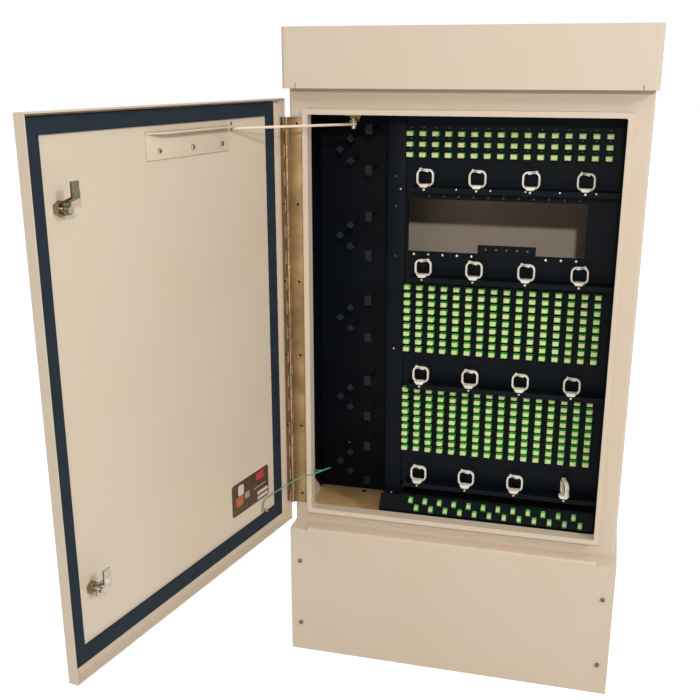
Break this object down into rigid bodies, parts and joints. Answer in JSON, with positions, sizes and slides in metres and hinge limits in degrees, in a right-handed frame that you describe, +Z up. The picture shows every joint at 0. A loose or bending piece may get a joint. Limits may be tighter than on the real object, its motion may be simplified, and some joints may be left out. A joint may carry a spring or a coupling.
{
  "type": "roadside utility cabinet",
  "caption": "Tan sheet-metal roadside fibre cabinet on a plinth with a side-hinged door, connector panel, cable rings and slack storage",
  "frame": {"origin": "middle of the plinth foot of the housing, on the ground", "axes": "+X to the right along the front, +Y from the front to the back, +Z up"},
  "size_m": [0.8314, 1.0476, 1.294],
  "materials": {
    "tan_paint": "satin powder coat",
    "black_paint": "matt powder coat",
    "zinc": "zinc plated",
    "bronze": "aged bronze plate",
    "foam": "closed-cell foam",
    "green_plastic": "moulded",
    "cream_plastic": "moulded",
    "white_plastic": "moulded",
    "black_plastic": "moulded",
    "green_wire": "extruded sheath"
  },
  "bodies": {
    "cabinet": {"plinth": "tan_paint", "plinth_cover": "tan_paint", "plinth_cover_screws": "zinc", "cabinet_body": "tan_paint", "roof_cap": "tan_paint", "hinge_frame_leaf": "bronze", "hinge_pin": "bronze", "hinge_frame_screws": "zinc", "stay_bracket": "bronze", "stay_bolt": "zinc", "ground_lug": "bronze", "divider_channel": "black_paint", "connector_panel": "black_paint", "top_adapters": "green_plastic", "middle_adapters": "green_plastic", "lower_adapters": "green_plastic", "top_dust_caps": "cream_plastic", "middle_dust_caps": "cream_plastic", "lower_dust_caps": "cream_plastic", "top_cable_rings": "white_plastic", "upper_cable_rings": "white_plastic", "middle_cable_rings": "white_plastic", "lower_cable_rings": "white_plastic", "ring_ledges": "black_paint", "parking_strip": "black_paint", "parking_adapters": "green_plastic", "parking_dust_caps": "cream_plastic", "storage_plate": "black_paint", "storage_fingers": "black_plastic", "ground_wire": "green_wire"},
    "door": {"door_pan": "tan_paint", "door_gasket": "foam", "hinge_door_leaf": "bronze", "hinge_door_screws": "zinc", "stay_rail": "tan_paint", "stay_rail_screws": "zinc", "upper_latch_body": "zinc", "lower_latch_body": "zinc", "ground_stud": "bronze"},
    "upper_latch": {"upper_latch_spindle": "zinc", "upper_latch_cam": "zinc"},
    "lower_latch": {"lower_latch_spindle": "zinc", "lower_latch_cam": "zinc"},
    "stay": {"stay_rod": "zinc"}
  },
  "joints": [
    {"name": "door_hinge", "type": "hinge", "parent": "cabinet", "child": "door", "pos_m": [-0.3355, -0.194, 0.737], "axis": [0, 0, 1], "range_deg": [0, 101.98], "deforming": ["ground_wire"]},
    {"name": "upper_latch_turn", "type": "hinge", "parent": "door", "child": "upper_latch", "pos_m": [-0.45634, -0.78274, 1.0345], "axis": [0.9782, -0.2076, 0], "range_deg": [0, 90]},
    {"name": "lower_latch_turn", "type": "hinge", "parent": "door", "child": "lower_latch", "pos_m": [-0.45634, -0.78274, 0.4365], "axis": [0.9782, -0.2076, 0], "range_deg": [0, 90]},
    {"name": "stay_pivot", "type": "hinge", "parent": "cabinet", "child": "stay", "pos_m": [-0.209, -0.172, 1.121], "axis": [0, 0, 1], "range_deg": [0, 126.45]}
  ],
  "couplings": [
    {"joint": "stay_pivot", "follows": "door_hinge", "ratio": 1.2396}
  ]
}
